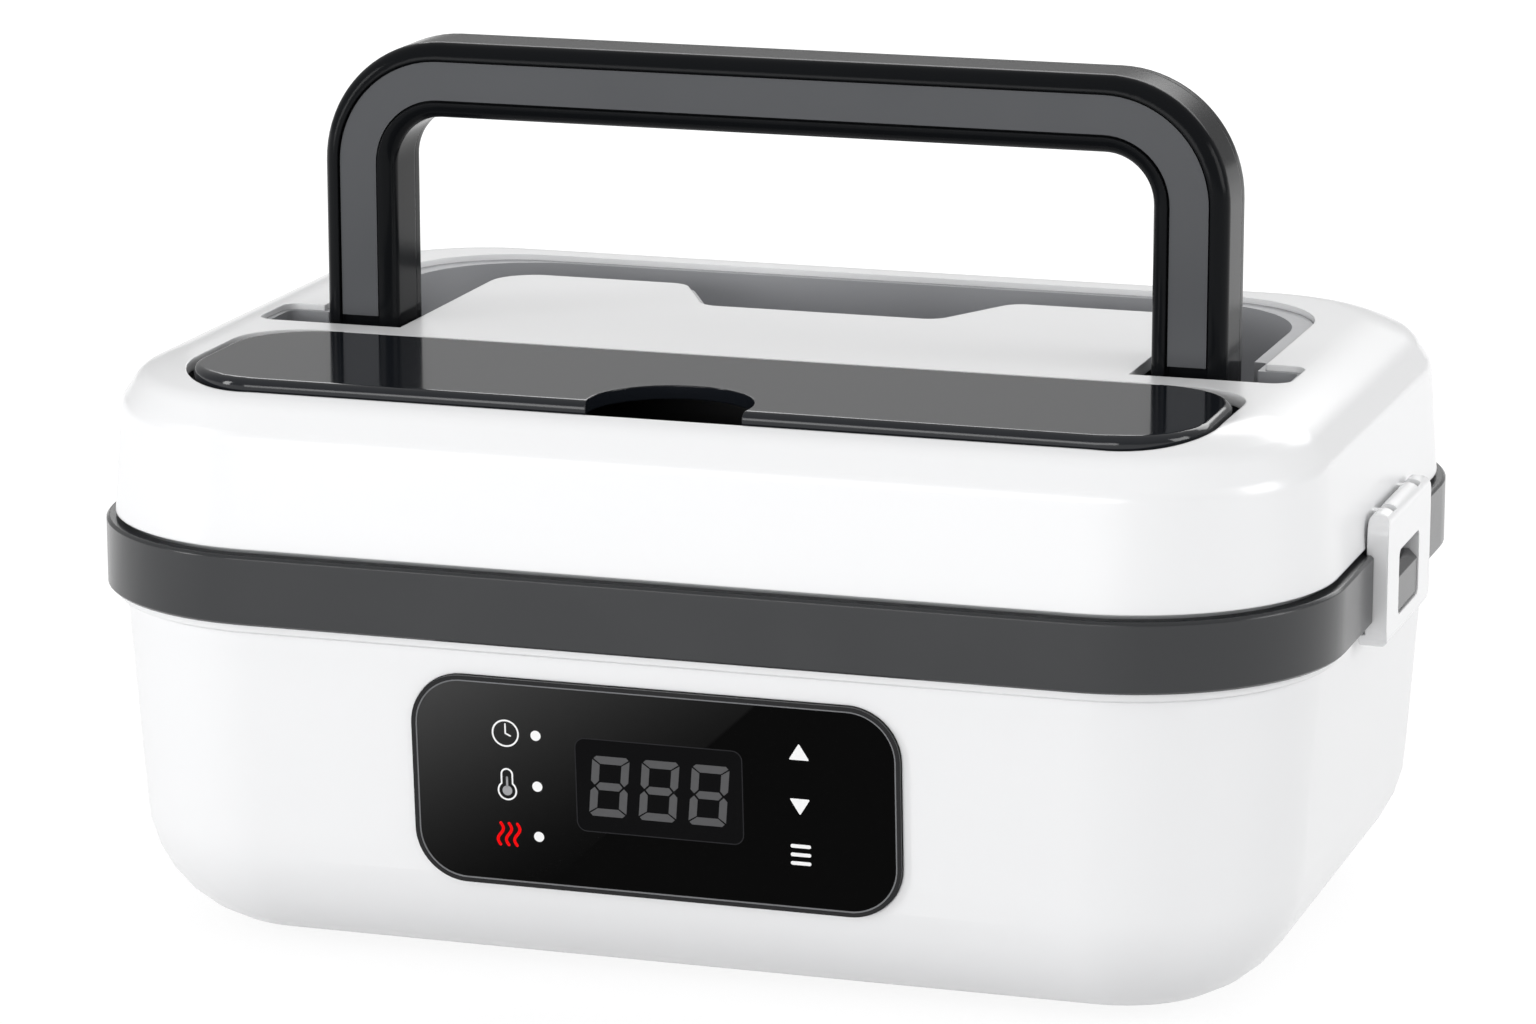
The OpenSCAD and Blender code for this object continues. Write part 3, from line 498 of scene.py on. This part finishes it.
def thermometer(inset, start, end):
    """The bulb's open arc and the stem's round top, drawn in by an inset."""
    return (circle(ICON_U, BULB_V, BULB_R - inset, start, end, 36)
            + circle(ICON_U, STEM_V, STEM_R - inset, 0, 180, 16))


graphic("icon_thermometer", ring(thermometer(0, 130, 410), thermometer(ICON_LINE, 126, 414)),
        white_ink)
graphic(
    "icon_thermometer_bulb",
    [circle(ICON_U, BULB_V, BULB_R / 2)]
    + stroke([(ICON_U, BULB_V + 0.8), (ICON_U, STEM_V - 0.6)], 0.4),
    grey_ink)

# three wavy lines, each one full turn of a sine that leans a little
WAVE_PITCH = 1.62
WAVE_SWING = 0.5
WAVE_LEAN = 0.2
WAVE_HEIGHT = 4.2
WAVE_LINE = 0.58
WAVE_STEPS = 24
waves = []
for k in (-1, 0, 1):
    line = []
    for i in range(WAVE_STEPS + 1):
        t = i / WAVE_STEPS
        swing = WAVE_SWING * math.sin(2 * math.pi * t) + WAVE_LEAN * (0.5 - t)
        line.append((ICON_U + k * WAVE_PITCH + swing, HEAT_V + WAVE_HEIGHT * (0.5 - t)))
    waves += stroke(line, WAVE_LINE)
graphic("icon_heat", waves, red_ink)

DOT_R = 0.98
graphic("indicator_dots", [circle(DOT_U, v, DOT_R) for v in ROWS], white_ink)

KEY_W = 3.9
ARROW_H = 3.15
ARROW_ROUND = 0.35


def arrow(base_v, way):
    """A triangle that points up (1) or down (-1) from its base."""
    return [rounded_polygon([(KEY_U - KEY_W / 2, base_v), (KEY_U + KEY_W / 2, base_v),
                             (KEY_U, base_v + way * ARROW_H)], ARROW_ROUND)]


graphic("key_up", arrow(9.25, 1), white_ink)
graphic("key_down", arrow(1.8, -1), white_ink)

MENU_V = -9.0
MENU_PITCH = 1.65
MENU_LINE = 0.7
graphic(
    "key_menu",
    [rounded_rect(KEY_U, MENU_V + k * MENU_PITCH, KEY_W, MENU_LINE, 0.34, 6) for k in (1, 0, -1)],
    white_ink)

# display window: centre, size and corner, and the width of its outline
WINDOW_U = 0.95
WINDOW_V = 0.9
WINDOW_W = 32.3
WINDOW_H = 18.2
WINDOW_CORNER = 2.0
WINDOW_LINE = 0.2


def window(inset=0.0):
    """The display window's outline, drawn in by an inset."""
    return rounded_rect(WINDOW_U, WINDOW_V, WINDOW_W - 2 * inset, WINDOW_H - 2 * inset,
                        WINDOW_CORNER - inset)


graphic("display_window", [window()], window_ink, high=INK / 3)
graphic("display_outline", ring(window(), window(WINDOW_LINE)), window_line, high=2 * INK / 3)

DIGIT_W = 7.2
DIGIT_H = 11.7
DIGIT_PITCH = 9.6
BAR = 1.5
CUT = 0.5
SLIT = 0.22
LEAN = 0.09


def segments(cu):
    """The seven bars of one digit, with cut corners and slits between them."""
    w, h, t, g = DIGIT_W / 2, DIGIT_H / 2, BAR, SLIT
    middle = [(-w + t / 2 + g * 1.4, 0), (-w + t + g, t / 2), (w - t - g, t / 2),
              (w - t / 2 - g * 1.4, 0), (w - t - g, -t / 2), (-w + t + g, -t / 2)]
    upper, lower = [
        [(-w + g + CUT, v), (w - g - CUT, v), (w - g, v + s * CUT),
         (w - t - g * 0.4, v + s * t), (-w + t + g * 0.4, v + s * t), (-w + g, v + s * CUT)]
        for v, s in ((h, -1), (-h, 1))]
    uprights = [
        [(side * w, end * (h - CUT - g)), (side * (w - t), end * (h - t - g)),
         (side * (w - t), end * (t / 2 + g * 1.2)), (side * (w - t / 2), end * g),
         (side * w, end * (t / 2 + g))]
        for side in (-1, 1) for end in (-1, 1)]
    return [[(cu + u + LEAN * v, WINDOW_V + v) for u, v in bar]
            for bar in (upper, middle, lower, *uprights)]


digits = [bar for k in (-1, 0, 1) for bar in segments(WINDOW_U + k * DIGIT_PITCH)]
graphic("display_digits", digits, segment_ink)


# ---------- studio ----------

FLOOR_HALF = 30
FLOOR_COLOR = (0.6, 0.6, 0.605, 1)
# plain white in the floor's look: its share, its level near and far, and those two distances
FLOOR_SHARE = 0.74
FLOOR_WHITE = (1.2, 1.4)
FLOOR_REACH = (0.2, 0.7)


def floor():
    """White ground that camera and reflections see bright, with the object's shadow kept in it."""
    mesh = bpy.data.meshes.new("floor")
    half = FLOOR_HALF
    mesh.from_pydata([(-half, -half, 0), (half, -half, 0), (half, half, 0), (-half, half, 0)],
                     [], [(0, 1, 2, 3)])
    obj = linked("floor", mesh)
    mat, tree, shader, coords = node_material("floor")
    shader.inputs["Base Color"].default_value = FLOOR_COLOR
    shader.inputs["Roughness"].default_value = 0.9
    shader.inputs["Specular IOR Level"].default_value = 0.2
    distance = tree.nodes.new("ShaderNodeVectorMath")
    distance.operation = "LENGTH"
    tree.links.new(coords.outputs["Object"], distance.inputs[0])
    white = tree.nodes.new("ShaderNodeEmission")
    tree.links.new(remapped(tree, distance.outputs["Value"], FLOOR_REACH, FLOOR_WHITE),
                   white.inputs["Strength"])
    path = tree.nodes.new("ShaderNodeLightPath")
    seen = path.outputs["Is Camera Ray"]
    for kind in ("Is Glossy Ray", "Is Transmission Ray"):
        seen = computed(tree, "MAXIMUM", seen, path.outputs[kind])
    mix = tree.nodes.new("ShaderNodeMixShader")
    tree.links.new(computed(tree, "MULTIPLY", seen, FLOOR_SHARE), mix.inputs[0])
    tree.links.new(shader.outputs[0], mix.inputs[1])
    tree.links.new(white.outputs[0], mix.inputs[2])
    tree.links.new(mix.outputs[0], tree.nodes["Material Output"].inputs["Surface"])
    mesh.materials.append(mat)


def lamp(name, place, aim_height, width, height, power):
    """A soft rectangular lamp that looks at the object's axis at a height."""
    data = bpy.data.lights.new(name, "AREA")
    data.shape = "RECTANGLE"
    data.size = width
    data.size_y = height
    data.energy = power
    aimed(name, data, place, Vector((0, 0, aim_height)) - Vector(place))


# the sky's level low and high, and the sines of the elevations between which it changes
SKY_LEVEL = (0.49, 0.7)
SKY_RISE = (0.2, 0.9)


def sky():
    """Studio light that grows from the horizon to the zenith."""
    world = bpy.data.worlds.new("studio")
    world.use_nodes = True
    tree = world.node_tree
    coords = tree.nodes.new("ShaderNodeTexCoord")
    axes = tree.nodes.new("ShaderNodeSeparateXYZ")
    tree.links.new(coords.outputs["Generated"], axes.inputs[0])
    background = tree.nodes["Background"]
    background.inputs["Color"].default_value = (1, 1, 1, 1)
    tree.links.new(remapped(tree, axes.outputs["Z"], SKY_RISE, SKY_LEVEL),
                   background.inputs["Strength"])
    bpy.context.scene.world = world


floor()
lamp("front", (-0.3, -1.9, 0.3), 0.06, 1.6, 0.6, 14.5)
lamp("left_strip", (-1.5, -1.0, 0.45), 0.08, 0.3, 1.0, 8.5)
lamp("side", (1.65, 0.05, 0.55), 0.06, 0.7, 0.8, 9)
lamp("back", (0.0, 1.65, 0.95), 0.1, 2.0, 0.6, 10)
sky()
bpy.context.scene.view_settings.view_transform = "Standard"
